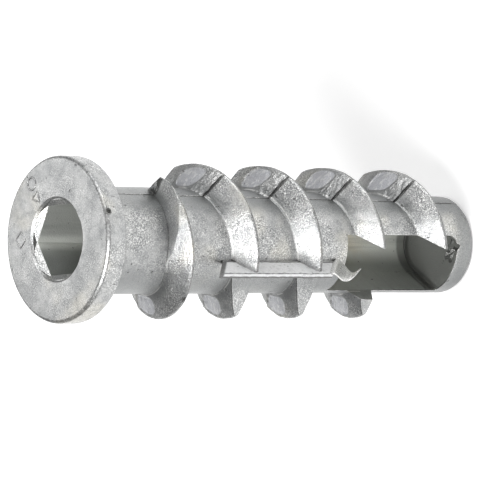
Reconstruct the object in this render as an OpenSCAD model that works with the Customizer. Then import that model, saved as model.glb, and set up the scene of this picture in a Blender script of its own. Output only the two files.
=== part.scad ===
// Screw-in anchor for aerated concrete, die-cast in one piece.
// The axis is Z: the anchor stands on its closed tail, the flange faces up,
// and the tail slot opens towards -Y. The casting's two parting planes hold
// the axis and lie along X and along Y.

/* [Body] */
// Length from the tail end to the flange face
anchor_length = 60; // [56:1:75]
// Diameter of the shank where it meets the flange
shank_d = 12.6; // [12:0.1:13.5]
// Diameter of the shank at the tail end
tail_d = 11.7; // [11.2:0.1:12.4]
// Radius of the rounded edge at the tail end
tail_edge_r = 0.5; // [0.2:0.1:1]

/* [Flange] */
// Diameter of the flange
flange_d = 19.5; // [18.6:0.1:24]
// Thickness of the flange
flange_t = 2.3; // [1.6:0.1:4]
// Radius of the flange's rounded edges
flange_edge_r = 0.5; // [0.2:0.1:0.7]
// Radius of the fillet between the flange and the shank
flange_fillet_r = 0.6; // [0.2:0.1:1.5]

/* [Hex socket] */
// Width across the flats of the socket
hex_af = 8.1; // [7.5:0.1:8.4]
// Depth of the socket from the flange face
hex_depth = 12; // [6:0.5:16]
// Slope of the socket's conical floor
hex_floor_slope = 30; // [10:5:45]
// Diameter of the chamfer cone where it meets the flange face
hex_mouth_d = 10; // [9.8:0.1:11]

/* [Bolt thread] */
// Diameter of the tapped bore between its thread crests
bore_d = 6.8; // [5:0.1:7]
// Width of the chamfer at the bore's two ends
bore_chamfer = 0.4; // [0.2:0.1:0.5]

/* [Tail slot] */
// Width of the slot, and diameter of its round floor
slot_w = 7.8; // [7.2:0.1:8.2]
// Length of the slot along the axis
slot_l = 17.8; // [14:0.2:20]
// Thickness of the wall that closes the tail
tail_wall = 2.8; // [2:0.1:4]
// Radius of the slot's corners beside the tail wall
slot_corner_r = 0.8; // [0.4:0.1:1.5]
// Width of the chamfer where the slot's floor meets the tail wall
slot_floor_chamfer = 1.4; // [0.6:0.1:2]

/* [Outer thread] */
// Diameter over the thread crest at the top of the thread
thread_d = 18.5; // [17.5:0.1:19]
// Diameter over the thread crest at the bottom of the thread
thread_tail_d = 18; // [17:0.1:18.6]
// Rise of the thread in one turn
thread_pitch = 10; // [8:0.5:11]
// Width of the thread where it meets the shank
thread_root_w = 3.7; // [3:0.1:4.2]
// Width of the land along the crest
thread_crest_w = 0.35; // [0.2:0.05:0.8]
// Depth of the thread's flat top face below the flange face
thread_top = 11.7; // [10:0.1:13]
// Height of the crest's start above the flat top face, which cuts it off
thread_start_rise = 0.5; // [0:0.1:1]
// Turns of the thread, from its top to its last tip beside the slot
thread_turns = 4.25; // [4:0.05:4.35]

/* [Parting] */
// Offset of the stepped parting planes from the axis
parting_step = 1.1; // [0.6:0.1:1.5]
// Slope of the parting faces that cut the thread off
parting_draft = 5.5; // [3:0.5:8]
// Depth below the flange face at which the parting faces begin
parting_top = 17.5; // [16.5:0.1:19]
// Thickness of the flash fin on the slot side's parting
fin_t = 0.45; // [0.3:0.05:0.7]
// Length of the flash fin along its outer edge
fin_l = 19; // [14:0.5:20]
// Length by which the upper end of the fin slants
fin_slant = 3; // [1:0.1:4]

/* [Hidden] */
$fn = 96;

// Overlap that keeps cutting tools clear of the faces they cut
overlap = 1;
// Depth to which the thread is rooted in the shank
root_sink = 0.6;
// Sections of the thread in one turn
turn_sections = 48;

flange_r = flange_d / 2;
bore_r = bore_d / 2;
slot_r = slot_w / 2;
hex_mouth_r = hex_mouth_d / 2;
hex_corner_r = hex_af / 2 / cos(30);
slot_top_z = tail_wall + slot_l;
hex_floor_z = anchor_length - hex_depth;
flange_back_z = anchor_length - flange_t;
thread_top_z = anchor_length - thread_top;
thread_steps = round(thread_turns * turn_sections);
parting_top_z = anchor_length - parting_top;
fin_top_z = parting_top_z;

// Radius of the tapered shank at a height
function shank_r(z) = (tail_d + (shank_d - tail_d) * z / flange_back_z) / 2;
// Radius of the thread crest at a height
function crest_r(z) =
    let (share = (thread_top_z - z) / (thread_pitch * thread_turns))
    (thread_d + (thread_tail_d - thread_d) * share) / 2;
// Height of the crest after an angle of thread, counted down from its top
function crest_z(angle) = thread_top_z + thread_start_rise - thread_pitch * angle / 360;
// Points of a quarter arc about a centre, from one angle to another
function arc(centre, r, from, to, steps = 6) =
    [for (i = [0:steps]) let (a = from + (to - from) * i / steps) centre + r * [cos(a), sin(a)]];

// Half section of the flange and the tapered shank
function body_section() = concat(
    [[0, 0]],
    arc([shank_r(0) - tail_edge_r, tail_edge_r], tail_edge_r, -90, 0),
    arc([shank_r(flange_back_z) + flange_fillet_r, flange_back_z - flange_fillet_r],
        flange_fillet_r, 180, 90),
    arc([flange_r - flange_edge_r, flange_back_z + flange_edge_r], flange_edge_r, -90, 0),
    arc([flange_r - flange_edge_r, anchor_length - flange_edge_r], flange_edge_r, 0, 90),
    [[0, anchor_length]]);

module body_blank() {
    rotate_extrude() polygon(body_section());
}

// Section of the thread at one angle, as points in space: root, crest, crest, root.
// The flanks run straight on into the shank, to the depth of root_sink.
function thread_section(angle) =
    let (
        z = crest_z(angle),
        outer = crest_r(z),
        root = shank_r(z),
        spread = (thread_root_w - thread_crest_w) / (outer - root),
        inner = root - root_sink,
        half_root = (thread_root_w + spread * root_sink) / 2,
        half_crest = thread_crest_w / 2)
    [for (rz = [[inner, z - half_root], [outer, z - half_crest],
                [outer, z + half_crest], [inner, z + half_root]])
        [rz[0] * cos(angle), -rz[0] * sin(angle), rz[1]]];

// Right-hand ridge of the thread, swept down from the +X side
module thread_ridge() {
    sections = [for (i = [0:thread_steps]) thread_section(i * 360 / turn_sections)];
    points = [for (s = sections) each s];
    sides = [for (i = [0:thread_steps - 1], k = [0:3])
        let (a = 4 * i + k, b = 4 * i + (k + 1) % 4)
        each [[a, a + 4, b], [b, a + 4, b + 4]]];
    last = 4 * thread_steps;
    ends = [[0, 1, 2], [0, 2, 3], [last, last + 2, last + 1], [last, last + 3, last + 2]];
    polyhedron(points, concat(sides, ends));
}

// Room above a parting face that is tangent to the shank and slopes away from the
// step: the slide that forms the next quarter reaches in here and cuts the thread off
module parting_relief() {
    tangent_y = -shank_r(parting_top_z);
    far_x = parting_step - flange_r;
    translate([0, 0, tail_wall])
        linear_extrude(parting_top_z - tail_wall)
            polygon([[parting_step, tangent_y], [parting_step, -flange_d], [far_x, -flange_d],
                     [far_x, tangent_y - flange_r * tan(parting_draft)]]);
}

module thread() {
    difference() {
        thread_ridge();
        // Flat top face
        translate([-flange_d, -flange_d, thread_top_z])
            cube([2 * flange_d, 2 * flange_d, thread_pitch]);
        for (turn = [0, 180]) rotate([0, 0, turn]) parting_relief();
    }
}

// Thin flash fin that stands on the step of the parting plane
module flash_fin() {
    reach = crest_r(fin_top_z);
    rooted = shank_r(fin_top_z) - root_sink;
    translate([parting_step - fin_t, 0, fin_top_z])
        rotate([90, 0, 90])
            linear_extrude(fin_t)
                polygon([[-reach, 0], [-rooted, -fin_slant], [-rooted, -fin_l], [-reach, -fin_l]]);
}

// Hexagonal drive socket with a chamfered mouth and a conical floor
module hex_socket() {
    drop = hex_mouth_r - hex_af / 2;
    floor_drop = (hex_af / 2 - bore_r) * tan(hex_floor_slope);
    translate([0, 0, hex_floor_z])
        cylinder(h = hex_depth + overlap, r = hex_corner_r, $fn = 6);
    translate([0, 0, anchor_length - drop])
        cylinder(h = drop + overlap, r1 = hex_mouth_r - drop, r2 = hex_mouth_r + overlap);
    translate([0, 0, hex_floor_z - floor_drop])
        cylinder(h = floor_drop, r1 = bore_r, r2 = hex_af / 2);
}

// Bore for the bolt thread, from the socket to the slot
module bolt_bore() {
    translate([0, 0, slot_top_z - overlap])
        cylinder(h = hex_floor_z - slot_top_z + 2 * overlap, r = bore_r);
    translate([0, 0, slot_top_z])
        cylinder(h = bore_chamfer, r1 = bore_r + bore_chamfer, r2 = bore_r);
}

// Slot in the tail: a round floor about the axis, open towards -Y
module tail_slot() {
    floor_z = tail_wall + slot_floor_chamfer;
    translate([0, 0, floor_z])
        cylinder(h = slot_top_z - floor_z, r = slot_r);
    translate([0, 0, tail_wall])
        cylinder(h = slot_floor_chamfer, r1 = slot_r - slot_floor_chamfer, r2 = slot_r);
    rotate([90, 0, 0])
        linear_extrude(flange_d)
            difference() {
                translate([-slot_r, tail_wall]) square([slot_w, slot_l]);
                for (side = [-1, 1])
                    translate([side * slot_r, tail_wall])
                        difference() {
                            square(2 * slot_corner_r, center = true);
                            translate([-side * slot_corner_r, slot_corner_r]) circle(slot_corner_r);
                        }
            }
}

// The whole casting
module anchor_body() {
    color([0.72, 0.72, 0.71])
        difference() {
            union() {
                body_blank();
                thread();
                flash_fin();
            }
            hex_socket();
            bolt_bore();
            tail_slot();
        }
}

anchor_body();
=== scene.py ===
"""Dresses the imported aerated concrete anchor: the casting, its flash and its finish, on a plain stage."""
import math

import bpy
import numpy as np
from mathutils import Matrix, Vector


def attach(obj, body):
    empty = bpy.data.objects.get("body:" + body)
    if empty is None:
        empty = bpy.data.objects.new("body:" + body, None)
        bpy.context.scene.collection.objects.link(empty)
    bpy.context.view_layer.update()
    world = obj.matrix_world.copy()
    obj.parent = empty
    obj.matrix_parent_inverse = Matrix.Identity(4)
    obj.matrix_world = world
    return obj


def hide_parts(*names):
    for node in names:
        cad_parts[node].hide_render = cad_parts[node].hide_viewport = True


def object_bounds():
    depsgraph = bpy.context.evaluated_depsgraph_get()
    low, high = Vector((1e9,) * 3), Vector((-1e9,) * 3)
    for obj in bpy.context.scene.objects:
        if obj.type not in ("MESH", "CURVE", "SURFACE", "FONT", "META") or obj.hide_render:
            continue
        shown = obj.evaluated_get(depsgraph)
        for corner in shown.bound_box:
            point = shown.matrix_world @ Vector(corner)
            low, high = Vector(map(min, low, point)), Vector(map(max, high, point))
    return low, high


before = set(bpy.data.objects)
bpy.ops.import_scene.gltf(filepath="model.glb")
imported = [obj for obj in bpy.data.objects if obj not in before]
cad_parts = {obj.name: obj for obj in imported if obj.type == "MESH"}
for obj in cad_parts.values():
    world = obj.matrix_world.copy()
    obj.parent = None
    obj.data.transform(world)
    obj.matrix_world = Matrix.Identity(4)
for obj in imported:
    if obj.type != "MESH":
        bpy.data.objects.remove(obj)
CAD_LOW, CAD_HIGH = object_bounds()

bl_info = {
    "name": "Aerated concrete anchor",
    "version": (1, 0, 0),
    "blender": (4, 5, 0),
    "location": "View3D > Sidebar > Anchor",
    "description": "Builds a die-cast screw-in anchor with its flash, bolt thread and cast finish",
    "category": "Object",
}

MM = 0.001
BODY = "root"
NODE = "anchor_body"
ANCHOR_LENGTH = CAD_HIGH.z - CAD_LOW.z
FLANGE_D = CAD_HIGH.x - CAD_LOW.x
# Depth to which the fin is rooted in the shank
FIN_SINK = 0.6 * MM
# Sides of a turned cutter
SIDES = 96


def number(name, description, default, **settings):
    """A number that a user would change."""
    return bpy.props.FloatProperty(
        name=name, description=description, default=default, precision=5, **settings
    )


def length(name, description, default, low=0.0):
    """A size in metres that a user would change."""
    return number(name, description, default, min=low, unit="LENGTH")


def angle(name, description, degrees):
    """An angle that a user would change, given in degrees."""
    return number(name, description, math.radians(degrees), unit="ROTATION")


def colour(name, description, default):
    """A linear colour that a user would change."""
    return bpy.props.FloatVectorProperty(
        name=name, description=description, default=(*default, 1.0), subtype="COLOR", size=4, min=0.0, max=1.0
    )


class AnchorSizes(bpy.types.PropertyGroup):
    """Sizes of the casting. Its length and the flange's diameter come from the frame."""

    anchor_length: length("Length", "From the tail end to the flange face", ANCHOR_LENGTH)
    shank_d: length("Shank diameter", "Where the shank meets the flange", 12.6 * MM)
    tail_d: length("Tail diameter", "Of the shank at the tail end", 11.7 * MM)
    tail_edge_r: length("Tail edge", "Radius of the edge at the tail end", 0.8 * MM)
    flange_d: length("Flange diameter", "Across the flange", FLANGE_D)
    flange_t: length("Flange thickness", "Of the flange at its edge", 2.9 * MM)
    flange_edge_r: length("Flange edge", "Radius of the flange's edges", 0.5 * MM)
    flange_fillet_r: length("Flange fillet", "Radius between flange and shank", 0.6 * MM)
    hex_af: length("Hex across flats", "Width of the drive socket", 8.1 * MM)
    hex_turn: angle("Hex turn", "Of the drive socket about the axis", 5.0)
    hex_depth: length("Hex depth", "Depth of the drive socket", 12.0 * MM)
    hex_chamfer: length("Hex chamfer", "Depth of the chamfer along the flats", 0.85 * MM)
    hex_step_d: length("Hex step", "Diameter of the round step of the mouth", 9.5 * MM)
    hex_mouth_d: length("Hex mouth", "Diameter of the mouth's bevel", 10.0 * MM)
    bore_d: length("Bore at the crests", "Between the crests of the bolt thread", 6.8 * MM)
    bolt_d: length("Bolt diameter", "Over the roots of the bolt thread", 8.0 * MM)
    bolt_pitch: length("Bolt pitch", "Rise of the bolt thread in one turn", 1.25 * MM)
    slot_w: length("Slot width", "Of the tail slot and its round floor", 7.8 * MM)
    slot_l: length("Slot length", "Of the tail slot along the axis", 17.8 * MM)
    tail_wall: length("Tail wall", "Thickness of the closed tail", 2.8 * MM)
    slot_corner_r: length("Slot corner", "Radius beside the tail wall, on the +X side", 1.2 * MM)
    slot_sharp_r: length("Sharp corner", "Radius beside the tail wall, on the -X side", 0.3 * MM)
    slot_floor_chamfer: length("Slot floor chamfer", "Where the floor meets the tail wall", 0.06 * MM)
    thread_d: length("Thread diameter", "Over the crest at the top", 18.5 * MM)
    thread_tail_d: length("Thread tail diameter", "Over the crest at the bottom", 18.0 * MM)
    thread_pitch: length("Thread pitch", "Rise of the outer thread in one turn", 10.0 * MM)
    thread_root_w: length("Thread root", "Width of the thread at the shank", 3.7 * MM)
    thread_crest_w: length("Thread crest", "Width of the crest's land", 0.35 * MM)
    thread_top: length("Thread top", "Depth of the flat top face below the flange face", 11.7 * MM)
    thread_start_rise: length("Thread start", "Height of the crest above the top face", 0.5 * MM)
    thread_start_ramp: angle("Thread ramp", "Over which the start rises from the shank", 11.5)
    thread_turns: number("Thread turns", "From the top to the last tip", 4.25)
    thread_dip: length("Crest dip", "Depth by which the crest dips before the slot's side", 0.45 * MM)
    parting_step: length("Parting step", "Offset of the stepped parting planes", 1.1 * MM)
    parting_draft: angle("Parting draft", "Slope of the faces that cut the thread off", 5.5)
    parting_top: length("Parting top", "Depth at which the parting faces begin", 17.5 * MM)
    flank_step: length("Flank step", "Height by which a flank stands out before a parting", 0.3 * MM)
    facet_depth: length("Facet depth", "Of the flat lens on each flank before a parting", 0.09 * MM)
    fin_t: length("Fin thickness", "Of the flash fin", 0.45 * MM)
    fin_l: length("Fin length", "Of the flash fin along its outer edge", 17.4 * MM)
    fin_slant: length("Fin slant", "Of the fin's two ends", 3.2 * MM)
    fin_overhang: length("Fin overhang", "Reach of the fin past the thread crest", 0.2 * MM)

    @property
    def flange_back(self):
        """Height of the flange's back."""
        return self.anchor_length - self.flange_t

    @property
    def hex_floor(self):
        """Height of the socket's floor."""
        return self.anchor_length - self.hex_depth

    @property
    def slot_top(self):
        """Height of the slot's upper end."""
        return self.tail_wall + self.slot_l

    @property
    def thread_z(self):
        """Height of the thread's flat top face."""
        return self.anchor_length - self.thread_top

    @property
    def parting_z(self):
        """Height at which the parting faces begin."""
        return self.anchor_length - self.parting_top

    @property
    def bolt_root_r(self):
        """Radius of the bolt thread's roots, a little less than the bolt's own."""
        return self.bolt_d / 2 * 0.98

    def shank_r(self, z):
        """Radius of the tapered shank at a height."""
        return (self.tail_d + (self.shank_d - self.tail_d) * z / self.flange_back) / 2

    def crest_r(self, z):
        """Radius of the thread crest at a height."""
        share = (self.thread_z - z) / (self.thread_pitch * self.thread_turns)
        return (self.thread_d + (self.thread_tail_d - self.thread_d) * share) / 2

    def fin_reach(self):
        """Distance of the fin's outer edge from the axis."""
        return self.crest_r(self.parting_z) + self.fin_overhang


class FinishSettings(bpy.types.PropertyGroup):
    """Colours of the bare zinc, and of the highlights and shade painted on it."""

    light: colour("Light zinc", "Clean metal", (0.475, 0.478, 0.475))
    dark: colour("Dark zinc", "Dull patches", (0.33, 0.336, 0.34))
    facet: colour("Pressed zinc", "Smooth lenses on the flanks", (0.61, 0.62, 0.66))
    fin: colour("Fin", "Matt skin of the flash fin", (0.92, 0.925, 0.93))
    # Pale as painted light on the walls of the socket, the bore and the slot; Deep inside is its shaded copy
    inside: colour("Inside", "Walls of the socket and the slot", (0.95, 0.97, 0.91))
    stain: colour("Stain", "Brown stain in the slot", (0.82, 0.72, 0.53))
    deep: colour("Deep inside", "Shaded walls and streaks", (0.19, 0.2, 0.19))
    # Real dirt in pits and on the thread's start, and also painted shade in corners, on the crest land, on
    # the step of each flank, under the fin and on the tail wall
    soot_and_shade: colour("Soot", "Dirt in corners and pits", (0.05, 0.05, 0.047))
    # Also painted shade on the shank's sides and round the tail
    smear_and_shade: colour("Smear", "Dull smears", (0.25, 0.257, 0.257))
    # Also a painted highlight on edges, on the flange's rim and along the root of each head flank
    bright: colour("Worn edge", "Bare bright metal on edges", (0.93, 0.93, 0.91))
    warm: colour("Warm tint", "Faint tarnish", (0.62, 0.6, 0.535))


class StageSettings(bpy.types.PropertyGroup):
    """Camera, lights and floor."""

    azimuth: angle("Azimuth", "Of the camera about the anchor", 30.65)
    elevation: angle("Elevation", "Of the camera above the floor", 39.59)
    roll: angle("Roll", "Turn of the picture after the axis lies level", 0.76)
    distance: length("Distance", "From the anchor's middle to the camera", 600.0 * MM)
    focal_px: number("Focal length in pixels", "In a picture of the width below", 5019.3)
    picture_px: number("Picture width", "In pixels", 480.0)
    shift_right: length("Aim right", "Offset of the aim along the picture", -1.869 * MM, -1.0)
    shift_up: length("Aim up", "Offset of the aim up the picture", 0.251 * MM, -1.0)
    floor_colour: colour("Floor", "Colour of the floor", (0.9, 0.9, 0.9))
    floor_glow: number("Floor glow", "White that the floor shows by itself", 0.33)
    world_level: number("World level", "Strength of the even light", 0.2)


# Mesh helpers


def ease(x, start, stop):
    """Smooth step: 0 before start, 1 past stop."""
    u = np.clip((x - start) / (stop - start), 0.0, 1.0)
    return u * u * (3.0 - 2.0 * u)


def uneven(u, v, step, seed):
    """Smooth uneven heights from -1 to 1: random values at the knots of a square net, blended between."""
    size = 64
    net = np.random.default_rng(seed).uniform(-1.0, 1.0, (size, size))
    u, v = np.broadcast_arrays(np.asarray(u) / step, np.asarray(v) / step)
    i, j = np.floor(u).astype(int), np.floor(v).astype(int)
    f, g = ease(u - i, 0.0, 1.0), ease(v - j, 0.0, 1.0)
    i, j = i % size, j % size
    k, m = (i + 1) % size, (j + 1) % size
    low = net[i, j] * (1.0 - f) + net[k, j] * f
    high = net[i, m] * (1.0 - f) + net[k, m] * f
    return low * (1.0 - g) + high * g


def grid_faces(rows, cols, wrap):
    """Quads of a grid of points, row after row; wrap joins the last column to the first."""
    i = np.arange(rows - 1)[:, None]
    j = np.arange(cols if wrap else cols - 1)[None, :]
    k = (j + 1) % cols
    a, b = i * cols + j, i * cols + k
    return np.stack([a, b, b + cols, a + cols], axis=-1).reshape(-1, 4)


def closed_tube(points):
    """Vertices and faces of a closed skin: rings of points, row after row, with a fan over each end."""
    rows, cols = points.shape[:2]
    flat = points.reshape(-1, 3)
    ends = np.stack([points[0].mean(axis=0), points[-1].mean(axis=0)])
    first, last = rows * cols, rows * cols + 1
    j = np.arange(cols)
    k = (j + 1) % cols
    low = np.stack([np.full(cols, first), k, j], axis=-1)
    high = np.stack([np.full(cols, last), j + (rows - 1) * cols, k + (rows - 1) * cols], axis=-1)
    faces = grid_faces(rows, cols, True).tolist() + low.tolist() + high.tolist()
    return np.vstack([flat, ends]), faces


def closed_ring(points):
    """Vertices and faces of a closed loop of rings, whose last row joins the first."""
    rows, cols = points.shape[:2]
    faces = grid_faces(rows + 1, cols, True) % (rows * cols)
    return points.reshape(-1, 3), faces.tolist()


def joined(skins):
    """One list of vertices and one of faces from several skins."""
    vertices, faces, start = [], [], 0
    for points, polygons in skins:
        vertices.append(points)
        faces.extend([[start + v for v in polygon] for polygon in polygons])
        start += len(points)
    return np.vstack(vertices), faces


def placed(name, data):
    """A new object in the scene."""
    thing = bpy.data.objects.new(name, data)
    bpy.context.scene.collection.objects.link(thing)
    return thing


def new_piece(name, vertices, faces):
    """A mesh object at the origin, with its faces turned outwards."""
    mesh = bpy.data.meshes.new(name)
    mesh.from_pydata(np.asarray(vertices, dtype=float).tolist(), [], faces)
    mesh.validate()
    outward(mesh)
    return placed(name, mesh)


def outward(mesh):
    """Turns a closed skin the right way round if its signed volume is negative."""
    mesh.calc_loop_triangles()
    co = np.empty(len(mesh.vertices) * 3)
    mesh.vertices.foreach_get("co", co)
    tri = np.empty(len(mesh.loop_triangles) * 3, dtype=np.int32)
    mesh.loop_triangles.foreach_get("vertices", tri)
    p = co.reshape(-1, 3)[tri.reshape(-1, 3)]
    volume = np.einsum("ij,ij->i", p[:, 0], np.cross(p[:, 1], p[:, 2])).sum()
    if volume < 0:
        mesh.flip_normals()


def arc(centre_r, centre_z, radius, start, stop, count=7):
    """Points (r, z) of an arc about a centre, from one angle to another in degrees."""
    a = np.radians(np.linspace(start, stop, count))
    return np.stack([centre_r + radius * np.cos(a), centre_z + radius * np.sin(a)], axis=-1)


def cut(target, tool, operation):
    """Joins or cuts the target's mesh with the tool's and drops the tool."""
    step = target.modifiers.new(operation, "BOOLEAN")
    step.operation = operation
    step.solver = "MANIFOLD"
    step.object = tool
    graph = bpy.context.evaluated_depsgraph_get()
    mesh = bpy.data.meshes.new_from_object(target.evaluated_get(graph))
    target.modifiers.clear()
    old = target.data
    target.data = mesh
    mesh.name = old.name
    bpy.data.meshes.remove(old)
    spent = tool.data
    bpy.data.objects.remove(tool)
    bpy.data.meshes.remove(spent)


def finish(piece, material, sharp=32.0):
    """Smooth shading up to an angle, the material, and the piece's place on the frame."""
    piece.data.shade_smooth()
    piece.data.set_sharp_from_angle(angle=math.radians(sharp))
    piece.data.materials.clear()
    piece.data.materials.append(material)
    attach(piece, BODY)


# Forms of the casting


def body_profile(sizes):
    """Half section of the blank: tail edge, tapered shank, fillet and rounded flange."""
    back = sizes.flange_back
    tail_r, top_r = sizes.shank_r(0.0), sizes.shank_r(back)
    e, f, g = sizes.tail_edge_r, sizes.flange_fillet_r, sizes.flange_edge_r
    flange_r = sizes.flange_d / 2
    z = np.linspace(e, back - f, 90)[1:-1]
    return np.vstack([
        arc(tail_r - e, e, e, -90, 0),
        np.stack([sizes.shank_r(z), z], axis=-1),
        arc(top_r + f, back - f, f, 180, 90),
        arc(flange_r - g, back + g, g, -90, 0),
        arc(flange_r - g, sizes.anchor_length - g, g, 0, 90),
    ])


def body_rings(sizes):
    """The half section turned about Z, with a ragged seam on the +X and -X sides, where two die halves met:
    one half stands a little proud, and a thin ridge lies on the line between them."""
    even = np.linspace(0.0, 360.0, 192, endpoint=False)
    seam = np.array([-1.6, -1.1, -0.7, -0.3, 0.3, 0.7, 1.1, 1.6])
    a = np.unique(np.round(np.concatenate([even, seam % 360.0, seam + 180.0]), 3))
    profile = body_profile(sizes)
    r, z = profile[:, :1], profile[:, 1:]
    back = sizes.flange_back - sizes.flange_fillet_r
    on_shank = ease(z, 0.0, sizes.tail_edge_r) * (1.0 - ease(z, back - MM, back))
    part = np.mod(a, 180.0)
    apart = np.minimum(part, 180.0 - part)
    ragged = 0.6 + 0.5 * uneven(z, a, 0.7 * MM, 11)
    ridge = 0.09 * MM * np.clip(1.0 - apart / 1.1, 0.0, 1.0) * ragged
    proud = 0.05 * MM * ease(part, 0.0, 0.7) * (1.0 - ease(part, 60.0, 90.0))
    wave = 0.02 * MM * uneven(np.broadcast_to(a, (len(z), len(a))), z / MM * 5.0, 14.0, 12)
    r = r + on_shank * (ridge + proud) + wave
    a = np.radians(a)
    return np.stack([r * np.cos(a), r * np.sin(a), np.broadcast_to(z, r.shape)], axis=-1)


def thread_sweep(sizes):
    """Angles of the thread's sections in degrees: even steps, finer ones before each half turn, and two
    close ones on either side of it."""
    end = 360.0 * sizes.thread_turns
    even = np.arange(-math.degrees(sizes.thread_start_ramp), end, 2.5)
    fine = np.arange(0.0, end, 1.0)
    half_turns = np.arange(0.0, end, 180.0)
    close = [half_turns - 0.06, half_turns + 0.06]
    sweep = np.concatenate([even, fine[fine % 180.0 > 112.0], *close, [end]])
    return np.unique(np.round(sweep, 3))


# The flat lens on a flank: middle and half width in degrees of a half turn, on the slot's half and on the
# other, and middle and half height as shares of the flank
LENS_AT, LENS_HALF = (159.0, 154.0), (16.0, 12.0)
LENS_RISE, LENS_TALL = 0.52, 0.38
# Lean of the lens: its shift in degrees from root to crest
LENS_LEAN = 10.0


def flank_relief(sizes, sweep, rise):
    """Height of the head flank over the plain V. Before each half turn the flank stands out, with a flat
    lens in its middle and a rough band beside the step down to the next quarter."""
    part = np.mod(sweep, 180.0)
    proud = sizes.flank_step * ease(part, 95.0, 150.0) * (1.0 - 0.5 * ease(rise, 0.7, 1.0))
    lean = LENS_LEAN * (rise - 0.5)
    half = (np.mod(sweep, 360.0) >= 180.0).astype(int)
    aside = (part - np.array(LENS_AT)[half] - lean) / np.array(LENS_HALF)[half]
    over = (rise - LENS_RISE) / LENS_TALL
    round_off = np.abs(aside) ** 3.0 + np.abs(over) ** 3.0
    lens = 1.0 - ease(round_off, 0.85, 1.1)
    band = ease(part, 166.0 + lean, 167.5 + lean)
    rough = 0.5 + uneven(sweep, rise * 14.0, 1.6, 21)
    ripple = uneven(sweep, rise * 30.0, 7.0, 22)
    return proud - sizes.facet_depth * lens + 0.07 * MM * band * rough + 0.02 * MM * ripple


def thread_rings(sizes):
    """Rings of the outer thread: a V section with a small root fillet and a rounded crest, carried down a
    right-hand helix from the +X side. Row i is the section at sweep i; a column is one of its points."""
    sweep = thread_sweep(sizes)[:, None]
    a = np.radians(sweep)
    top = sizes.thread_z
    z = top + sizes.thread_start_rise - sizes.thread_pitch * sweep / 360.0
    root, crest = sizes.shank_r(z), sizes.crest_r(z)
    part = np.mod(sweep, 180.0)
    dip = ease(part, 15.0, 80.0) * (1.0 - ease(part, 95.0, 130.0)) * ease(sweep, 180.0, 700.0)
    crest = crest - sizes.thread_dip * dip + 0.03 * MM * uneven(sweep, 0.0, 5.0, 23)
    crest = root + (crest - root) * np.clip(1.0 + a / sizes.thread_start_ramp, 0.02, 1.0)
    half_root, half_crest = sizes.thread_root_w / 2, sizes.thread_crest_w / 2
    half_land = half_crest * 0.6
    head_rise = np.concatenate([[-0.2, 0.0, 0.02, 0.05], np.linspace(0.1, 0.92, 18), [0.97]])[None, :]
    tail_rise = np.array([[0.97, 0.85, 0.65, 0.45, 0.25, 0.12, 0.05, 0.02, 0.0, -0.2]])
    fillet = 0.14 * MM

    def width(rise):
        return half_crest + (half_root - half_crest) * (1.0 - rise) + fillet * ease(rise, 0.07, -0.05) ** 2

    tall = crest - root
    head_w = width(head_rise) + flank_relief(sizes, sweep, head_rise) * ease(sweep, -2.0, 20.0)
    top_w = flank_relief(sizes, sweep, np.ones((1, 1))) + half_land
    tail_w = -width(tail_rise) * np.ones_like(tall)
    r = np.concatenate([root + head_rise * tall, crest, crest, root + tail_rise * tall], axis=1)
    w = np.concatenate([head_w, top_w, -half_land * np.ones_like(tall), tail_w], axis=1)
    return np.stack([r * np.cos(a), -r * np.sin(a), z + w], axis=-1)


def tool_piece(rings):
    """A closed cutter from its rings."""
    return new_piece("tool", *closed_tube(rings))


def turned(*section):
    """A closed cutter that is turned about Z from the points (r, z) of its half section."""
    a = np.linspace(0.0, 2.0 * np.pi, SIDES, endpoint=False)
    r, z = np.array(section).T[..., None]
    return tool_piece(np.stack([r * np.cos(a), r * np.sin(a), z * np.ones(SIDES)], axis=-1))


def prism(outline, low, high):
    """Rings of an outline (x, y) raised from one height to another."""
    return np.stack([np.column_stack([outline, np.full(len(outline), z)]) for z in (low, high)])


def box_outline(x0, y0, x1, y1):
    """Corners of a rectangle."""
    return np.array([[x0, y0], [x1, y0], [x1, y1], [x0, y1]])


def relief_outline(sizes, side):
    """The room beside a parting face, which lies along the shank's tangent and slopes away from the step.
    side is 1 on the slot's side and -1 behind."""
    y = -sizes.shank_r(sizes.parting_z)
    far = sizes.parting_step - sizes.flange_d / 2
    drop = sizes.flange_d / 2 * math.tan(sizes.parting_draft)
    outline = np.array([
        [sizes.parting_step, y],
        [sizes.parting_step, -sizes.flange_d],
        [far, -sizes.flange_d],
        [far, y - drop],
    ])
    return side * outline


def build_thread(sizes):
    """The outer thread with its flat top face and the two parting faces that cut it off."""
    thread = new_piece("thread", *closed_tube(thread_rings(sizes)))
    top = sizes.thread_z
    wide = sizes.flange_d
    tools = [prism(box_outline(-wide, -wide, wide, wide), top, top + wide)]
    z = sizes.parting_z
    tools += [prism(relief_outline(sizes, side), sizes.tail_wall, z) for side in (1, -1)]
    for rings in tools:
        cut(thread, tool_piece(rings), "DIFFERENCE")
    return thread


def fin_rings(sizes):
    """Rings of the flash fin: a thin slab with a beaded, ragged outer edge, carried down the shank. Its two
    ends slant, so a point's height falls with its depth below the outer edge."""
    top = sizes.parting_z
    reach, rooted = sizes.fin_reach(), sizes.shank_r(top) - FIN_SINK
    along = np.linspace(0.0, 1.0, 140)[:, None]
    up, down = np.linspace(0.0, 0.93, 14), np.linspace(0.93, 0.0, 6)
    out = np.concatenate([up, [0.97, 1.0, 1.0, 0.97], down])[None, :]
    high = np.concatenate([np.ones_like(up), [1.12, 1.0, 0.0, -0.2], np.zeros_like(down)])[None, :]
    x = sizes.parting_step + sizes.fin_t * (high - 1.0)
    depth = along * sizes.fin_l / MM
    x = x + 0.035 * MM * uneven(depth, out * 4.0, 0.35, 31) + 0.03 * MM * uneven(depth, out, 2.0, 32)
    ragged = 0.05 * MM * uneven(depth, 0.0, 0.45, 33) * out
    y = -(rooted + out * (reach - rooted) + ragged - 0.12 * MM * along * out)
    z = top - sizes.fin_slant * (1.0 - out) - along * sizes.fin_l
    return np.stack([x, y, z], axis=-1)


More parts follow.
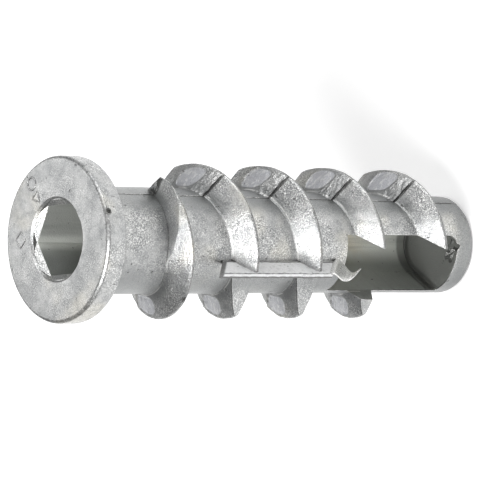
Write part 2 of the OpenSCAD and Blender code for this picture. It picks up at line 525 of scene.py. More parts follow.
def hexagon(sizes, apothem, z):
    """Corners of the socket's hexagon at a height, with a given distance from the axis to its flats."""
    a = sizes.hex_turn + np.radians(np.arange(6) * 60.0)
    corner = apothem / math.cos(math.radians(30.0))
    return np.stack([corner * np.cos(a), corner * np.sin(a), np.full(6, z)], axis=-1)


def socket_tools(sizes):
    """Cutters of the drive socket: a hexagonal prism, the bevel of its mouth, and the chamfers along its
    flats, which run out in a round step."""
    top, flat, deep = sizes.anchor_length, sizes.hex_af / 2, sizes.hex_chamfer
    step, mouth = sizes.hex_step_d / 2, sizes.hex_mouth_d / 2
    yield tool_piece(np.stack([hexagon(sizes, flat, z) for z in (sizes.hex_floor, top + MM)]))
    yield turned((step, top - mouth + step), (mouth + MM, top + MM))
    chamfer = tool_piece(np.stack([hexagon(sizes, flat + h, top - deep + h) for h in (0.0, deep + MM)]))
    cut(chamfer, turned((step, top - 2 * deep), (step, top + 2 * MM)), "INTERSECT")
    yield chamfer


def slot_outline(sizes):
    """Outline (x, z) of the slot's mouth: a ragged long side, two round corners beside the tail wall and
    a straight side."""
    h, r, s = sizes.slot_w / 2, sizes.slot_corner_r, sizes.slot_sharp_r
    low, high = sizes.tail_wall, sizes.slot_top
    z = np.linspace(high, low + s, 90)[1:-1]
    ragged = -h + 0.045 * MM * uneven(z, 0.0, 0.4 * MM, 41)
    return np.vstack([
        arc(h - r, low + r, r, -90, 0),
        [[h, high], [-h, high]],
        np.stack([ragged, z], axis=-1),
        arc(s - h, low + s, s, 180, 270),
    ])


def slot_tools(sizes):
    """Cutters of the tail slot: its open mouth and its round floor."""
    outline = slot_outline(sizes)
    levels = (0.0, -sizes.flange_d)
    mouth = [np.column_stack([outline[:, 0], np.full(len(outline), y), outline[:, 1]]) for y in levels]
    yield tool_piece(np.stack(mouth))
    h, c = sizes.slot_w / 2, sizes.slot_floor_chamfer
    low, high = sizes.tail_wall, sizes.slot_top
    yield turned((h - c, low), (h, low + c), (h, high))


def bore_tool(sizes):
    """Cutter of the bore, as wide as the roots of the bolt thread."""
    r = sizes.bolt_root_r
    return turned((r, sizes.slot_top - MM), (r, sizes.hex_floor + MM))


def lump(centre, radii, seed):
    """Rings of a small uneven ball: a sphere whose radius varies from place to place."""
    u = np.radians(np.linspace(-80.0, 80.0, 9))[:, None]
    v = np.radians(np.linspace(0.0, 360.0, 16, endpoint=False))[None, :]
    swell = 1.0 + 0.3 * uneven(np.sin(v) * 3.0 + u, np.cos(v) * 3.0, 1.0, seed)
    ball = np.stack([np.cos(u) * np.cos(v), np.cos(u) * np.sin(v), np.sin(u) * np.ones_like(v)], axis=-1)
    return np.array(centre) * MM + np.array(radii) * MM * ball * swell[..., None]


# Centre and radii in millimetres of the pit in the flange edge, the nick in the first crest and the hollow
# beside the slot's rim
NICKS = (
    ((7.55, -6.2, 59.55), (0.3, 0.22, 0.4)),
    ((-2.8, -9.0, 45.9), (0.5, 0.45, 0.45)),
    ((1.8, -4.45, 2.8), (1.45, 0.9, 0.7)),
)


class AnchorOperator(bpy.types.Operator):
    """Base of the anchor's operators."""

    bl_options = {"REGISTER", "UNDO"}


class ANCHOR_OT_casting(AnchorOperator):
    """The casting itself, in place of the plain solid"""

    bl_idname = "anchor.casting"
    bl_label = "Casting"

    def execute(self, context):
        sizes = context.scene.anchor_sizes
        body = new_piece("casting", *closed_tube(body_rings(sizes)))
        cut(body, build_thread(sizes), "UNION")
        cut(body, new_piece("fin", *closed_tube(fin_rings(sizes))), "UNION")
        tools = [*socket_tools(sizes), *slot_tools(sizes), bore_tool(sizes)]
        tools += [tool_piece(lump(centre, radii, seed)) for seed, (centre, radii) in enumerate(NICKS)]
        for tool in tools:
            cut(body, tool, "DIFFERENCE")
        finish(body, cast_zinc(sizes, context.scene.anchor_finish))
        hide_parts(NODE)
        return {"FINISHED"}


# Corners of the torn flash in millimetres, from the fin's lower end to its tip: shank side, then outer side
CURL = (
    ((1.02, -5.9, 22.5), (1.02, -9.2, 25.5)),
    ((1.3, -6.1, 22.1), (1.3, -9.32, 25.0)),
    ((0.95, -6.6, 21.4), (0.78, -9.33, 24.0)),
    ((0.42, -7.25, 20.7), (0.2, -9.15, 22.9)),
    ((0.55, -7.8, 20.5), (0.05, -8.85, 21.8)),
    ((1.12, -8.25, 20.45), (0.52, -8.65, 21.0)),
    ((1.6, -8.58, 20.42), (1.5, -8.62, 20.45)),
)


def smooth_path(points, count):
    """Points along a smooth curve through the given ones (Catmull-Rom)."""
    p = np.asarray(points, dtype=float)
    p = np.vstack([2.0 * p[:1] - p[1:2], p, 2.0 * p[-1:] - p[-2:-1]])
    u = np.linspace(0.0, len(points) - 1.0, count)
    i = np.minimum(u.astype(int), len(points) - 2)
    f = (u - i)[:, None]
    a, b, c, d = p[i], p[i + 1], p[i + 2], p[i + 3]
    return 0.5 * (2 * b + (c - a) * f + (2 * a - 5 * b + 4 * c - d) * f**2 + (3 * b - a - 3 * c + d) * f**3)


def curl_skin():
    """A thin strip between two curves, with a thickness that falls towards its tip: rings of points go
    across its upper side and back along its lower side."""
    rows, cols = 48, 9
    inner, outer = (smooth_path([pair[k] for pair in CURL], rows) for k in (0, 1))
    across = np.linspace(0.0, 1.0, cols)[None, :, None]
    sheet = inner[:, None] * (1.0 - across) + outer[:, None] * across
    down = np.gradient(sheet, axis=0)
    over = np.gradient(sheet, axis=1)
    normal = np.cross(down, over)
    normal /= np.linalg.norm(normal, axis=-1, keepdims=True) + 1e-9
    half = np.linspace(0.11, 0.03, rows)[:, None, None]
    rough = 0.02 * uneven(np.arange(cols)[None, :], np.arange(rows)[:, None] * 0.15, 1.0, 51)[..., None]
    upper = sheet + normal * (half + rough)
    lower = sheet - normal * half
    return closed_tube(np.concatenate([upper, lower[:, ::-1]], axis=1) * MM)


# Slivers of flash in millimetres: where the root starts and stops, and how far the free edge stands off
SLIVERS = (
    ((0.6, -3.7, 2.66), (2.1, -4.9, 2.66), (0.3, 0.0, 0.35)),
    ((1.44, 3.6, 2.9), (-0.4, 3.86, 2.9), (0.0, -0.2, 0.12)),
)


def sliver_skin(start, stop, lean, seed):
    """A thin ribbon from one point to another, whose free edge stands off by an uneven share of lean."""
    u = np.linspace(0.0, 1.0, 60)[:, None]
    start, stop, lean = np.array(start), np.array(stop), np.array(lean)
    run = np.linalg.norm(stop - start)
    ends = ease(u, 0.0, 0.2) * (1.0 - ease(u, 0.8, 1.0))
    stand = 0.25 + 0.75 * ends * np.clip(0.55 + uneven(u * run, 0.0, 0.45, seed), 0.0, 1.2)
    half = 0.06
    side = np.cross(stop - start, lean)
    side *= half / np.linalg.norm(side)
    root = start * (1.0 - u) + stop * u
    free = root + lean * stand
    rings = np.stack([root + side, free + 0.3 * side, free - 0.3 * side, root - side], axis=1)
    return closed_tube(rings * MM)


class ANCHOR_OT_flash(AnchorOperator):
    """Torn flash that curls from the fin, and the slivers in the slot"""

    bl_idname = "anchor.flash"
    bl_label = "Flash"

    def execute(self, context):
        skins = [curl_skin()]
        skins += [sliver_skin(*sliver, seed) for seed, sliver in enumerate(SLIVERS, 54)]
        flash = new_piece("torn_flash", *joined(skins))
        finish(flash, torn_zinc(context.scene.anchor_finish), sharp=40.0)
        return {"FINISHED"}


def bolt_rings(sizes):
    """A V ridge on the wall of the bore, carried along a right-hand helix from the slot to the socket. It
    fades into the wall at both ends."""
    low = sizes.slot_top + 0.5 * sizes.bolt_pitch
    high = sizes.hex_floor - 0.5 * sizes.bolt_pitch
    turns = (high - low) / sizes.bolt_pitch
    a = np.linspace(0.0, 2.0 * np.pi * turns, round(64 * turns) + 1)[:, None]
    z = low + sizes.bolt_pitch * a / (2.0 * np.pi)
    wall, crest = sizes.bolt_root_r + 0.1 * MM, sizes.bore_d / 2
    fade = ease(a, 0.0, np.pi) * (1.0 - ease(a, a[-1] - np.pi, a[-1]))
    share = np.array([[0.0, 0.3, 0.9, 1.0, 1.0, 0.9, 0.3, 0.0]])
    across = np.array([[-0.47, -0.33, -0.1, -0.06, 0.06, 0.1, 0.33, 0.47]])
    r = wall - share * (wall - crest) * (0.1 + 0.9 * fade)
    return np.stack([r * np.cos(a), r * np.sin(a), z + across * sizes.bolt_pitch], axis=-1)


class ANCHOR_OT_bolt_thread(AnchorOperator):
    """The fine thread in the bore"""

    bl_idname = "anchor.bolt_thread"
    bl_label = "Bolt thread"

    def execute(self, context):
        sizes = context.scene.anchor_sizes
        thread = new_piece("bolt_thread", *closed_tube(bolt_rings(sizes)))
        finish(thread, cut_zinc(context.scene.anchor_finish))
        return {"FINISHED"}


# Corners of each mark's outline, its centre (x, y) and radius in millimetres, and its turn in degrees
MARKS = (
    (48, (3.05, 7.5), 0.8, 0.0),
    (3, (2.2, 5.9), 0.85, 20.0),
    (4, (-3.6, 5.85), 0.95, 32.0),
)


def mark_skin(sizes, corners, place, size, turn):
    """A low round ridge along a regular outline with softened corners, sunk in the flange face."""
    a = np.linspace(0.0, 2.0 * np.pi, 96, endpoint=False)
    sector = np.pi / corners
    inner = math.cos(sector) / np.cos(np.mod(a, 2.0 * sector) - sector)
    radius = size * np.minimum(inner, 0.93) * MM
    b = np.radians(np.linspace(0.0, 360.0, 10, endpoint=False))
    half_width, height = 0.12 * MM, 0.1 * MM
    r = radius[:, None] + half_width * np.cos(b)
    z = sizes.anchor_length + height * np.sin(b)
    t = (a + math.radians(turn))[:, None]
    x = place[0] * MM + r * np.cos(t)
    y = place[1] * MM + r * np.sin(t)
    return closed_ring(np.stack([x, y, np.broadcast_to(z, r.shape)], axis=-1))


class ANCHOR_OT_marks(AnchorOperator):
    """Plain raised marks that the die left on the flange face"""

    bl_idname = "anchor.marks"
    bl_label = "Cast marks"

    def execute(self, context):
        sizes = context.scene.anchor_sizes
        skins = [mark_skin(sizes, corners, place, size, turn) for corners, place, size, turn in MARKS]
        marks = new_piece("cast_marks", *joined(skins))
        finish(marks, plain_zinc(context.scene.anchor_finish), sharp=50.0)
        return {"FINISHED"}


# Finishes


class Field:
    """An output of a shader node. Arithmetic on fields adds the nodes that work it out. Masks are joined by a
    product where all have to hold, and by | where one is enough."""

    def __init__(self, graph, socket):
        self.graph = graph
        self.socket = socket

    def math(self, operation, *others):
        return self.graph.math(operation, self, *others)

    def ease(self, start, stop):
        """Smooth step: 0 before start, 1 past stop."""
        inputs = {"Value": self, "From Min": start, "From Max": stop}
        return self.graph.add("ShaderNodeMapRange", inputs, interpolation_type="SMOOTHSTEP")

    def __add__(self, other):
        return self.math("ADD", other)

    def __sub__(self, other):
        return self.math("SUBTRACT", other)

    def __mul__(self, other):
        return self.math("MULTIPLY", other)

    def __truediv__(self, other):
        return self.math("DIVIDE", other)

    def __mod__(self, other):
        return self.math("FLOORED_MODULO", other)

    def __pow__(self, other):
        return self.math("POWER", other)

    def __or__(self, other):
        return self.math("MAXIMUM", other)

    def __lt__(self, other):
        return self.math("LESS_THAN", other)

    def __gt__(self, other):
        return self.math("GREATER_THAN", other)

    def __abs__(self):
        return self.math("ABSOLUTE")


class Graph:
    """Adds nodes to a tree. An input is a plain value or a field."""

    def __init__(self, tree):
        self.tree = tree

    def feed(self, sockets, inputs):
        """Sets or links sockets, each given by its name or number."""
        for key, value in inputs.items():
            if isinstance(value, Field):
                self.tree.links.new(value.socket, sockets[key])
            else:
                sockets[key].default_value = value

    def shade(self, look):
        """Feeds the inputs of the material's Principled shader."""
        self.feed(self.tree.nodes["Principled BSDF"].inputs, look)

    def node(self, kind, inputs, **settings):
        """A new node."""
        node = self.tree.nodes.new(kind)
        for name, value in settings.items():
            setattr(node, name, value)
        self.feed(node.inputs, inputs)
        return node

    def add(self, kind, inputs, output=0, **settings):
        """One output of a new node, as a field."""
        return Field(self, self.node(kind, inputs, **settings).outputs[output])

    def outputs(self, kind, inputs, **settings):
        """All outputs of a new node, as fields by name."""
        return {socket.name: Field(self, socket) for socket in self.node(kind, inputs, **settings).outputs}

    def math(self, operation, *values):
        return self.add("ShaderNodeMath", dict(enumerate(values)), operation=operation)

    def parts(self, vector):
        """The x, y and z of a vector."""
        return self.outputs("ShaderNodeSeparateXYZ", {0: vector}).values()

    def normal(self):
        """The surface's own normal."""
        return self.add("ShaderNodeNewGeometry", {}, "Normal")

    def bevel(self, radius):
        """The normal as it would be with rounded edges."""
        return self.add("ShaderNodeBevel", {"Radius": radius}, samples=6)

    def noise(self, vector, per_mm, detail, roughness=0.5):
        inputs = {"Vector": vector, "Scale": per_mm / MM, "Detail": detail, "Roughness": roughness}
        return self.add("ShaderNodeTexNoise", inputs)

    def mix(self, factor, a, b):
        return self.add("ShaderNodeMix", {0: factor, 6: a, 7: b}, 2, data_type="RGBA")

    def group(self, vector, name, outputs, fill):
        """Outputs of the shader group of this name, fed with a vector. The first call makes the group, and
        fill works out the numbers that come out of it."""
        tree = bpy.data.node_groups.get(name) or new_group(name, outputs, fill)
        return self.outputs("ShaderNodeGroup", {"Vector": vector}, node_tree=tree)


def new_group(name, outputs, fill):
    """A shader group with a vector as its input and numbers as its outputs."""
    tree = bpy.data.node_groups.new(name, "ShaderNodeTree")
    tree.interface.new_socket("Vector", in_out="INPUT", socket_type="NodeSocketVector")
    for output in outputs:
        tree.interface.new_socket(output, in_out="OUTPUT", socket_type="NodeSocketFloat")
    graph = Graph(tree)
    results = fill(graph, graph.add("NodeGroupInput", {}, "Vector"))
    graph.node("NodeGroupOutput", dict(zip(outputs, results)))
    return tree


def new_material(name):
    """A material with a Principled shader, and the graph of its nodes."""
    material = bpy.data.materials.new(name)
    material.use_nodes = True
    return material, Graph(material.node_tree)


def span(share, low, high):
    """From low to high as share, a number or a field, goes from 0 to 1."""
    return share * (high - low) + low


def cast_grain(graph, vector):
    """Die-cast skin: broad mottling, fine speckle, tiny pits, and a height made of them."""
    broad = graph.noise(vector, 0.4, 4.0, 0.6)
    fine = graph.noise(vector, 6.5, 2.0, 0.6)
    pits = graph.noise(vector, 1.7, 2.0).ease(0.69, 0.75)
    return broad.ease(0.3, 0.7), fine.ease(0.32, 0.68), pits, broad * 0.8 + fine - pits * 0.8


def edge_wear_light_and_shade(graph, vector):
    """Edges made bright, partly as rubbed metal and partly as a painted highlight, and corners darkened as
    painted shade.
    """
    normals = {0: graph.bevel(0.11 * MM), 1: graph.normal()}
    flat = graph.add("ShaderNodeVectorMath", normals, "Value", operation="DOT_PRODUCT")
    patchy = graph.noise(vector, 1.4, 3.0).ease(0.35, 0.6)
    open_sky = graph.add("ShaderNodeAmbientOcclusion", {"Distance": 0.5 * MM}, "AO", samples=8)
    return flat.ease(0.985, 0.9) * patchy * open_sky.ease(0.45, 0.75), open_sky.ease(0.7, 0.4)


def zinc_colour(graph, vector, colours, grain, wear_light_and_shade, layers, calm, matt):
    """Mottled zinc with tarnish, smears, flecks, tinted layers, bright edges that are partly a painted
    highlight, pits and painted shade in corners. A layer is a mask, a strength and a colour. calm is 1 on
    smooth skin, and matt is 1 where no edge is brightened."""
    sparkle = span(graph.noise(vector, 0.22, 2.0).ease(0.38, 0.6), 0.35, 1.15) * span(calm, 1.0, 0.6)
    tints = (
        (graph.noise(vector, 0.16, 2.0).ease(0.52, 0.7), 0.6, colours.warm),
        (graph.noise(vector, 1.1, 4.0, 0.65).ease(0.49, 0.63), 0.5, colours.smear_and_shade),
        (grain["Speckle"].ease(0.56, 0.95) * sparkle, 0.6, colours.bright),
        (grain["Speckle"].ease(0.37, 0.05) * sparkle, 0.34, colours.soot_and_shade),
        *layers,
        # Painted highlight along edges, partly rubbed metal
        (wear_light_and_shade["Edge"] * span(matt, 1.0, 0.0), 0.75, colours.bright),
        (grain["Pits"], 0.75, colours.soot_and_shade),
        # Painted shade in corners and creases, taken from ambient occlusion
        (wear_light_and_shade["Corner"], 0.8, colours.soot_and_shade),
    )
    colour_now = graph.mix(grain["Mottle"], colours.dark, colours.light)
    for mask, strength, tint in tints:
        colour_now = graph.mix(mask * strength, colour_now, tint)
    return colour_now


def zinc_material(name, colours, metallic, rough, relief, sizes=None, fresh=0.0):
    """A bare zinc finish: colour, roughness and relief all come from the grain and from edges and corners,
    which add rubbed metal, painted highlights and painted shade. With sizes it is the casting's own skin,
    which differs from place to place. fresh is the share of bright new metal."""
    material, graph = new_material(name)
    vector = graph.add("ShaderNodeTexCoord", {}, "Object")
    grain = graph.group(vector, "Cast grain", ("Mottle", "Speckle", "Pits", "Height"), cast_grain)
    wear_light_and_shade = graph.group(vector, "Wear, light and shade", ("Edge", "Corner"), edge_wear_light_and_shade)
    layers, matt, calm = ((1.0, fresh, colours.bright),), 0.0, 0.0
    if sizes:
        at = Place(graph, vector, sizes)
        layers, matt = cast_layers(at, colours)
        calm = flange_mask(at)
    bump = {
        "Height": grain["Height"] * span(calm, 1.0, 0.55),
        "Strength": relief,
        "Distance": 0.065 * MM,
        "Normal": graph.bevel(0.07 * MM),
    }
    graph.shade({
        "Base Color": zinc_colour(graph, vector, colours, grain, wear_light_and_shade, layers, calm, matt),
        "Metallic": span(matt, metallic, 0.2),
        "Roughness": span(grain["Mottle"] * -0.6 + 0.8, *rough),
        "Normal": graph.add("ShaderNodeBump", bump),
    })
    return material


def cast_zinc(sizes, colours):
    """The casting's skin."""
    return zinc_material("cast_zinc", colours, 0.85, (0.28, 0.42), 0.85, sizes)


def torn_zinc(colours):
    """Fresh bright metal where the flash tore."""
    return zinc_material("torn_zinc", colours, 0.75, (0.18, 0.3), 0.5, fresh=0.75)


def cut_zinc(colours):
    """Smooth metal of the tapped thread."""
    return zinc_material("cut_zinc", colours, 0.8, (0.25, 0.4), 0.2)


def plain_zinc(colours):
    """The skin of the raised marks."""
    return zinc_material("mark_zinc", colours, 0.85, (0.3, 0.46), 0.5)


# Places on the casting


class Place:
    """Where a point of the casting lies, in fields: x, y and z, the radius about the axis, the sweep in
    degrees from +X towards -Y, the height over the shank's skin, and the normal."""

    def __init__(self, graph, vector, sizes):
        self.graph, self.vector, self.sizes = graph, vector, sizes
        self.x, self.y, self.z = graph.parts(vector)
        self.r = (self.x * self.x + self.y * self.y).math("SQRT")
        self.sweep = (self.y * -1.0).math("ARCTAN2", self.x) * (180.0 / math.pi)
        taper = (sizes.shank_d - sizes.tail_d) / 2 / sizes.flange_back
        self.over = self.r - (self.z * taper + sizes.tail_d / 2)
        self.normal_x, self.normal_y, self.normal_z = graph.parts(graph.normal())

    def noise(self, per_mm, detail, roughness=0.5):
        return self.graph.noise(self.vector, per_mm, detail, roughness)

    def streaks(self, factors, per_mm):
        """Noise that is drawn out along the axes whose factor is small."""
        drawn = self.graph.add("ShaderNodeVectorMath", {0: self.vector, 1: factors}, operation="MULTIPLY")
        return self.graph.noise(drawn, per_mm, 3.0, 0.6)

    def distance(self, point):
        """Distance from a point that is given in millimetres."""
        inputs = {0: self.vector, 1: [MM * v for v in point]}
        return self.graph.add("ShaderNodeVectorMath", inputs, "Value", operation="DISTANCE")


def cast_layers(at, colours):
    """Tints of the casting from place to place, each a mask, a strength and a colour, some of them painted
    highlights and shade, and a mask of the matt places."""
    rim_wear_and_glint, dark_rim = rim_masks(at)
    inside, lens, fin = inside_mask(at), lens_mask(at), fin_mask(at)
    layers = (
        # Painted shade on the shank's sides and round the tail
        (painted_side_shade(at), 0.82, colours.smear_and_shade),
        (lens, 0.68, colours.facet),
        (lens * at.streaks((0.12, 1.0, 1.0), 2.6).ease(0.5, 0.64), 0.45, colours.bright),
        # Painted shade along the crest's land
        (crest_shade(at), 0.5, colours.soot_and_shade),
        (nick_dirt(at), 0.9, colours.soot_and_shade),
        (parting_line(at), 0.75, colours.soot_and_shade),
        # Painted shade on the step of each flank, and the dark seam on the shank
        (seam_and_step_shade(at), 0.75, colours.soot_and_shade),
        # Painted highlight along the root of each head flank
        (root_highlight(at), 0.45, colours.bright),
        (start_dirt(at), 0.92, colours.soot_and_shade),
        (fin, 0.8, colours.fin),
        (fin * at.noise(1.6, 4.0, 0.7).ease(0.5, 0.66), 0.3, colours.smear_and_shade),
        # Dark lines on the fin, with painted shadow under its edge and painted shade at its foot
        (fin * fin_lines_and_shade(at), 0.85, colours.soot_and_shade),
        # Bright flecks on the flange's rim, partly a painted highlight
        (rim_wear_and_glint, 0.15, colours.bright),
        (dark_rim, 0.35, colours.soot_and_shade),
        # Painted light: the walls of the socket, the bore and the slot are made pale
        (inside, 0.95, colours.inside),
        # Painted shade in the socket
        (inside * (at.z > at.sizes.hex_floor), 0.66, colours.deep),
        (inside * stain_mask(at), 0.7, colours.stain),
        (inside * deep_mask(at), 0.85, colours.deep),
        # Painted highlight along a corner of the socket
        (inside * corner_highlight(at), 0.55, colours.inside),
        # Painted shade on the tail wall
        (inside * tail_shade(at), 0.55, colours.soot_and_shade),
        (inside * slot_shade(at), 0.6, colours.soot_and_shade),
    )
    return layers, inside | fin | lens * 0.35


def inside_mask(at):
    """1 on the walls of the socket, the bore and the slot: nearer the axis than the shank's skin."""
    tail, mouth = at.sizes.tail_wall, at.sizes.anchor_length - at.sizes.hex_chamfer
    under_skin = at.over.ease(-0.1 * MM, -0.25 * MM)
    under_mouth = at.z.ease(mouth + 0.05 * MM, mouth - 0.05 * MM)
    return under_skin * under_mouth * at.z.ease(tail - 0.9 * MM, tail - 0.7 * MM)


def tail_shade(at):
    """1 on the inner face of the tail wall and below it, where shade is painted."""
    return at.z.ease(at.sizes.tail_wall + 0.3 * MM, at.sizes.tail_wall + 0.1 * MM)


def deep_mask(at):
    """1 on the walls that face away from the light and on the tail wall, and drawn streaks elsewhere."""
    shaded = (at.y * 0.6 + at.x).ease(0.0, -3.2 * MM)
    return shaded | tail_shade(at) | at.streaks((1.0, 1.0, 0.06), 0.9).ease(0.4, 0.7) * 0.4


def stain_mask(at):
    """1 on a brown stain on the slot's floor, near the bore."""
    high = at.sizes.slot_top
    near_bore = at.z.ease(high - 14.0 * MM, high - 6.0 * MM) * (at.z < high)
    return near_bore * at.noise(0.35, 4.0, 0.6).ease(0.37, 0.58) * at.y.ease(0.0, 2.0 * MM)


def corner_highlight(at):
    """1 on a pale band along the socket's corner that faces the slot's floor side: a painted highlight."""
    aside = abs(at.sweep + (120.0 + math.degrees(at.sizes.hex_turn)))
    return aside.ease(16.0, 3.0) * (at.z > at.sizes.hex_floor)


def slot_shade(at):
    """1 in the corners round the foot of the slot: on its walls, and in a narrower band on the tail wall."""
    tail, wall = at.sizes.tail_wall, at.sizes.slot_w / 2
    deep = at.y | 0.0
    across = (at.x * at.x + deep * deep).math("SQRT")
    return across.ease(wall - 0.8 * MM, wall - 0.4 * MM) * at.z.ease(tail + 1.6 * MM, tail + 1.2 * MM)


def flange_mask(at):
    """1 on the flange face."""
    return at.z.ease(at.sizes.anchor_length - 0.3 * MM, at.sizes.anchor_length - 0.08 * MM)


def rim_masks(at):
    """Bright and dark flecks along the flange's front edge; the bright ones are partly worn metal and partly
    a painted highlight of the edge.
    """
    rim, face = at.sizes.flange_d / 2, at.sizes.anchor_length
    near = at.r.ease(rim - 0.75 * MM, rim - 0.4 * MM) * at.z.ease(face - 0.5 * MM, face - 0.2 * MM)
    flecks = at.noise(3.5, 2.0)
    return near * flecks.ease(0.46, 0.58), near * flecks.ease(0.44, 0.36)


def nick_dirt(at):
    """1 in the pit of the flange edge and the nick of the first crest, which hold dirt."""
    reach = [max(radii) * MM for _, radii in NICKS]
    spots = [at.distance(centre).ease(1.2 * r, 0.85 * r) for (centre, _), r in zip(NICKS[:2], reach)]
    return spots[0] | spots[1]


def painted_side_shade(at):
    """1 on the shank along each parting, on one side of it, and round the tail: painted shade, as a duller
    and darker skin.
    """
    sizes, part = at.sizes, at.sweep % 180.0
    round_tail = at.z.ease(sizes.tail_wall + MM, sizes.tail_wall - MM)
    beside = part.ease(70.0, 112.0) | part.ease(34.0, 10.0) | round_tail
    return beside * at.over.ease(1.6 * MM, 0.5 * MM) * at.z.ease(sizes.flange_back, sizes.flange_back - MM)


def seam_and_step_shade(at):
    """1 on the dark line at each half turn: wide on the step of a flank, where it is painted shade, and thin
    on the shank, where it is the seam.
    """
    sizes = at.sizes
    past = (at.sweep + 90.0) % 180.0 - 90.0 + (at.noise(1.1, 3.0) * 1.6 - 0.8)
    width = at.r.ease(sizes.shank_d / 2 + 0.1 * MM, sizes.shank_d / 2 + 0.6 * MM) * 0.4 + 0.9
    under_flange = at.z.ease(sizes.flange_back, sizes.flange_back - sizes.flange_t)
    return past.ease(-0.5, 0.1) * (past - width).ease(0.5, 0.0) * under_flange


def head_side(at):
    """1 on the thread's head side: less than half a pitch above the helix, and below the thread's top."""
    start = at.sizes.thread_z + at.sizes.thread_start_rise
    turn = (at.z - start) / -at.sizes.thread_pitch - at.sweep / 360.0
    return (turn.math("FRACT") > 0.55) * (at.z < at.sizes.thread_z)


def root_highlight(at):
    """1 on a thin bright line along the root of the head flank: a painted highlight."""
    thin = abs(at.over - 0.2 * MM).ease(0.1 * MM, 0.04 * MM)
    return thin * at.noise(0.6, 3.0).ease(0.4, 0.55) * head_side(at)


def crest_shade(at):
    """1 on the land of the crest, whose normal points straight out from the axis; the land is darkened there
    as painted shade.
    """
    root, crest = at.sizes.shank_d / 2, at.sizes.thread_d / 2
    facing = (at.normal_x * at.x + at.normal_y * at.y) / at.r
    outer = at.r.ease(root + 1.7 * MM, root + 2.0 * MM) * (at.r < crest + 0.1 * MM)
    return facing.ease(0.8, 0.92) * outer


def lens_mask(at):
    """1 on the flat lenses of the head flanks: an oval in sweep and rise before each half turn."""
    sizes = at.sizes
    root, crest = (sizes.shank_d + sizes.tail_d) / 4, (sizes.thread_d + sizes.thread_tail_d) / 4
    rise = (at.r - root) / (crest - root)
    half = at.sweep < 0.0
    middle = span(half, *LENS_AT) + (rise - 0.5) * LENS_LEAN
    aside = (at.sweep % 180.0 - middle) / span(half, *LENS_HALF)
    over = (rise - LENS_RISE) / LENS_TALL
    return (abs(aside) ** 3.0 + abs(over) ** 3.0).ease(1.05, 0.8) * head_side(at)


def start_dirt(at):
    """1 on ragged dirt along the thread's start."""
    root = at.sizes.shank_d / 2
    near = abs(at.sweep + 1.5).ease(7.0, 4.0) * abs(at.z - at.sizes.thread_z).ease(0.5 * MM, 0.2 * MM)
    return near * at.noise(1.3, 4.0, 0.7).ease(0.46, 0.52) * at.r.ease(root, root + 0.2 * MM)


def parting_line(at):
    """1 on the thin dark line where a parting face cuts a head flank off."""
    sizes = at.sizes
    ahead = at.x * (at.y * -1.0).math("SIGN")
    tangent, slope = sizes.shank_r(sizes.parting_z), math.tan(sizes.parting_draft)
    face = ahead * -slope + (tangent + slope * sizes.parting_step)
    thin = abs(abs(at.y) - face).ease(0.15 * MM, 0.06 * MM)
    clear = at.r.ease(tangent + 0.15 * MM, tangent + 0.35 * MM)
    below = (ahead < sizes.parting_step) * (at.z < sizes.parting_z)
    return thin * at.normal_z.ease(0.35, 0.5) * clear * below


def fin_mask(at):
    """1 on the flash fin."""
    sizes = at.sizes
    step, top = sizes.parting_step, sizes.parting_z
    across = (at.x > step - sizes.fin_t - 0.12 * MM) * (at.x < step + 0.09 * MM)
    along = (at.z < top + 0.1 * MM) * (at.z > top - sizes.fin_l - sizes.fin_slant)
    return across * along * (at.y < -sizes.shank_r(top) - 0.1 * MM)


def fin_lines_and_shade(at):
    """1 on two dark lines along the fin's outer edge, one on its top face and one under the edge, on a line
    along its foot and on the dark end towards the head. The line under the edge is painted shadow, and the
    line along the foot is painted shade in the corner."""
    sizes = at.sizes
    step, foot = sizes.parting_step, sizes.shank_r(sizes.parting_z)
    low = step - sizes.fin_t
    inset = at.y + sizes.fin_reach()
    on_top = at.x.ease(step - 0.12 * MM, step - 0.06 * MM)
    groove = abs(inset - (at.noise(0.8, 2.0) * (0.4 * MM) + 0.15 * MM)).ease(0.16 * MM, 0.07 * MM)
    # Painted shade in the corner at the fin's foot
    foot_shade = abs(at.y + (foot + 0.22 * MM)).ease(0.16 * MM, 0.06 * MM)
    # Painted shadow under the fin's outer edge
    under = at.x.ease(low + 0.26 * MM, low + 0.18 * MM) * inset.ease(0.4 * MM, 0.3 * MM)
    slant = sizes.fin_slant / (sizes.fin_reach() - foot + FIN_SINK)
    torn_end = (at.z + inset * slant - sizes.parting_z).ease(-0.75 * MM, -0.45 * MM)
    return (groove | foot_shade) * on_top | under | torn_end


# Stage


# Half the width of the floor in metres
FLOOR_HALF = 1.5
# A soft lamp high on the camera's side, a wide one on the far side and a weak one on the +X side: name, place
# from the anchor's middle and size in metres, and power in watts
LAMPS = (
    ("key", (-0.05, -0.28, 0.47), 0.24, 2.5),
    ("wide", (-0.15, 0.46, 0.42), 0.45, 1.0),
    ("side", (0.42, 0.1, 0.3), 0.3, 1.3),
)


class ANCHOR_OT_stage(AnchorOperator):
    """The floor, the lights and the camera"""

    bl_idname = "anchor.stage"
    bl_label = "Stage"

    def execute(self, context):
        stage = context.scene.anchor_stage
        middle = Vector((0.0, 0.0, ANCHOR_LENGTH / 2))
        context.scene.camera = build_camera(stage, middle)
        build_floor(stage)
        for lamp in LAMPS:
            area_light(*lamp, middle)
        build_world(context.scene, stage)
        context.scene.view_settings.view_transform = "Standard"
        return {"FINISHED"}


def camera_axes(stage):
    """The picture's right, up and back directions. Up the axis is left in the picture."""
    a, e = stage.azimuth, stage.elevation
    back = Vector((math.sin(a) * math.cos(e), -math.cos(a) * math.cos(e), math.sin(e)))
    axis = Vector((0.0, 0.0, 1.0))
    right = -(axis - back * axis.dot(back)).normalized()
    up = back.cross(right)
    turn = Matrix.Rotation(stage.roll, 3, back)
    return turn @ right, turn @ up, back


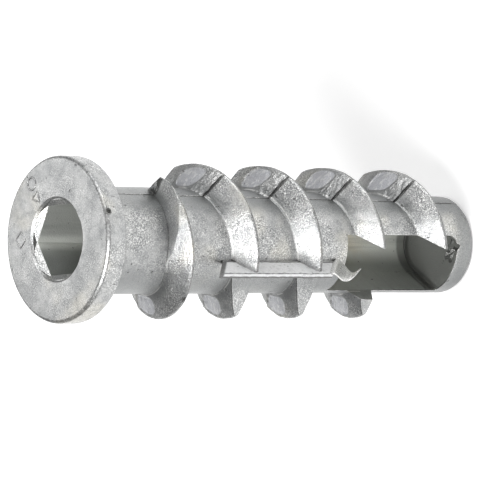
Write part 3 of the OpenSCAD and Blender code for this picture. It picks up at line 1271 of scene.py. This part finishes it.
def build_camera(stage, middle):
    """The camera, aimed a little beside the anchor's middle."""
    right, up, back = camera_axes(stage)
    aim = middle + right * stage.shift_right + up * stage.shift_up
    data = bpy.data.cameras.new("camera")
    data.sensor_width = 36.0
    data.lens = stage.focal_px / stage.picture_px * data.sensor_width
    data.clip_start = 0.01
    camera = placed("camera", data)
    turn = Matrix((right, up, back)).transposed()
    camera.matrix_world = Matrix.Translation(aim + back * stage.distance) @ turn.to_4x4()
    return camera


def build_floor(stage):
    """A wide pale floor under the tail. The camera and the metal see it with a white glow, and the lamps
    still cast the anchor's shadow on it."""
    mesh = bpy.data.meshes.new("floor")
    corners = box_outline(-FLOOR_HALF, -FLOOR_HALF, FLOOR_HALF, FLOOR_HALF)
    mesh.from_pydata([(x, y, 0.0) for x, y in corners.tolist()], [], [(0, 1, 2, 3)])
    floor = placed("floor", mesh)
    material, graph = new_material("floor")
    path = graph.outputs("ShaderNodeLightPath", {})
    seen = path["Is Camera Ray"] | path["Is Glossy Ray"] | path["Is Transmission Ray"]
    graph.shade({
        "Base Color": stage.floor_colour,
        "Roughness": 0.9,
        "Specular IOR Level": 0.0,
        "Emission Color": (1.0, 1.0, 1.0, 1.0),
        "Emission Strength": seen * stage.floor_glow,
    })
    mesh.materials.append(material)


def area_light(name, place, size, power, target):
    """A square soft lamp that faces the target."""
    data = bpy.data.lights.new(name, "AREA")
    data.shape = "SQUARE"
    data.size = size
    data.energy = power
    lamp = placed(name, data)
    lamp.location = target + Vector(place)
    lamp.rotation_mode = "QUATERNION"
    lamp.rotation_quaternion = (-Vector(place)).to_track_quat("-Z", "Y")


def build_world(scene, stage):
    """Even light from all round."""
    world = bpy.data.worlds.new("studio")
    world.use_nodes = True
    background = world.node_tree.nodes["Background"]
    background.inputs["Color"].default_value = (1.0, 1.0, 1.0, 1.0)
    background.inputs["Strength"].default_value = stage.world_level
    scene.world = world


# Add-on


class ANCHOR_PT_panel(bpy.types.Panel):
    """The anchor's pieces in the sidebar"""

    bl_label = "Anchor"
    bl_idname = "ANCHOR_PT_panel"
    bl_space_type = "VIEW_3D"
    bl_region_type = "UI"
    bl_category = "Anchor"

    def draw(self, context):
        for step in STEPS:
            self.layout.operator(step.bl_idname)


STEPS = (ANCHOR_OT_casting, ANCHOR_OT_flash, ANCHOR_OT_bolt_thread, ANCHOR_OT_marks, ANCHOR_OT_stage)
GROUPS = {"anchor_sizes": AnchorSizes, "anchor_finish": FinishSettings, "anchor_stage": StageSettings}
CLASSES = (*GROUPS.values(), *STEPS, ANCHOR_PT_panel)


def register():
    for c in CLASSES:
        bpy.utils.register_class(c)
    for name, group in GROUPS.items():
        setattr(bpy.types.Scene, name, bpy.props.PointerProperty(type=group))


def unregister():
    for name in GROUPS:
        delattr(bpy.types.Scene, name)
    for c in reversed(CLASSES):
        bpy.utils.unregister_class(c)


def main():
    """Registers the add-on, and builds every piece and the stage."""
    register()
    for step in STEPS:
        group, name = step.bl_idname.split(".")
        getattr(getattr(bpy.ops, group), name)()


if __name__ == "__main__":
    main()
